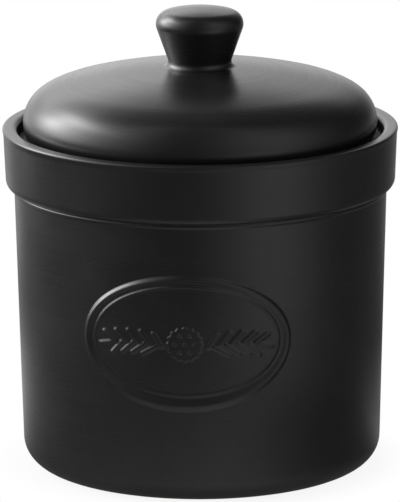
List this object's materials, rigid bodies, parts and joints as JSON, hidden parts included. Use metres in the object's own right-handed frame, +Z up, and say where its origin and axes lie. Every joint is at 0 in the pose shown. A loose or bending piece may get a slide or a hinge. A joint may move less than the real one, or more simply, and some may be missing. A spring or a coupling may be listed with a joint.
{
  "type": "biscuit jar",
  "caption": "Round lidded storage jar: slightly tapered wall, raised collar, domed lid that drops inside the collar, waisted knob, inner sealing ring and an oval label plaque on the front.",
  "frame": {"origin": "centre of the foot, on the surface that the jar stands on", "axes": "+Z up along the jar's axis, -Y out of the front, which carries the label plaque"},
  "size_m": [0.166, 0.166, 0.1947],
  "materials": {
    "glaze": "satin",
    "silicone": "matte"
  },
  "bodies": {
    "jar": {"jar_body": "glaze", "label_plaque": "glaze"},
    "lid": {"lid_dome": "glaze", "lid_knob": "glaze", "lid_seal": "silicone"}
  },
  "joints": [
    {"name": "lid_lift", "type": "slide", "parent": "jar", "child": "lid", "axis": [0, 0, 1], "range_m": [0, 0.1]}
  ]
}
